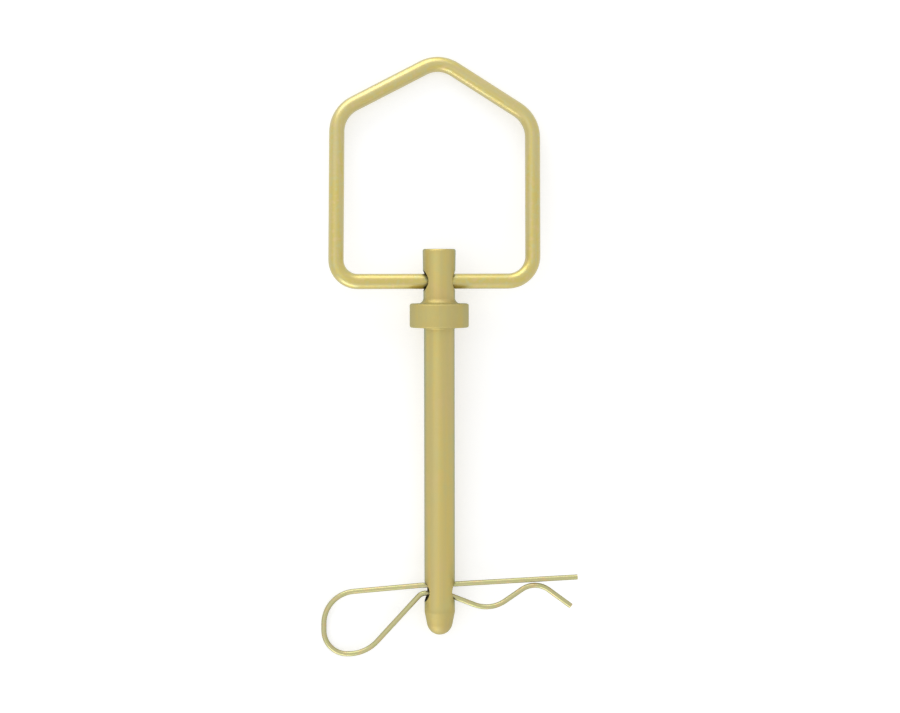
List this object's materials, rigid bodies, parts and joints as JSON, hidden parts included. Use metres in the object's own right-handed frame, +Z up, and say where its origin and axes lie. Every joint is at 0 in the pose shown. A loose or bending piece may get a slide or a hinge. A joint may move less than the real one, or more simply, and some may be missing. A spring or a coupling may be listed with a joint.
{
  "type": "hitch pin",
  "caption": "Headed pin with a round swivel handle bent to a peak, held in a cross hole, and a looped spring clip through a hole near its tapered tip.",
  "frame": {"origin": "on the pin's axis, in the plane of the seat under the collar", "axes": "+Y from the tip towards the handle, with the pin's axis 2.8 degrees out of level as it lies, +X towards the free ends of the clip, +Z up"},
  "size_m": [0.1599, 0.3757, 0.0373],
  "materials": {
    "pin_plating": "yellow zinc plating, satin, with soft lengthwise banding",
    "handle_plating": "yellow zinc plating, glossy",
    "clip_plating": "yellow zinc plating on drawn spring wire"
  },
  "bodies": {
    "pin": {"pin": "pin_plating"},
    "handle": {"handle": "handle_plating"},
    "clip": {"clip": "clip_plating"}
  },
  "joints": [
    {"name": "handle_swing", "type": "hinge", "parent": "pin", "child": "handle", "pos_m": [0, 0.02874, -0.00014], "axis": [1, 0, 0], "range_deg": [-166, 181]},
    {"name": "clip_pull", "type": "slide", "parent": "pin", "child": "clip", "axis": [0.9951, -0.0049, 0.0989], "range_m": [-0.105, 0], "deforming": ["clip"]}
  ]
}
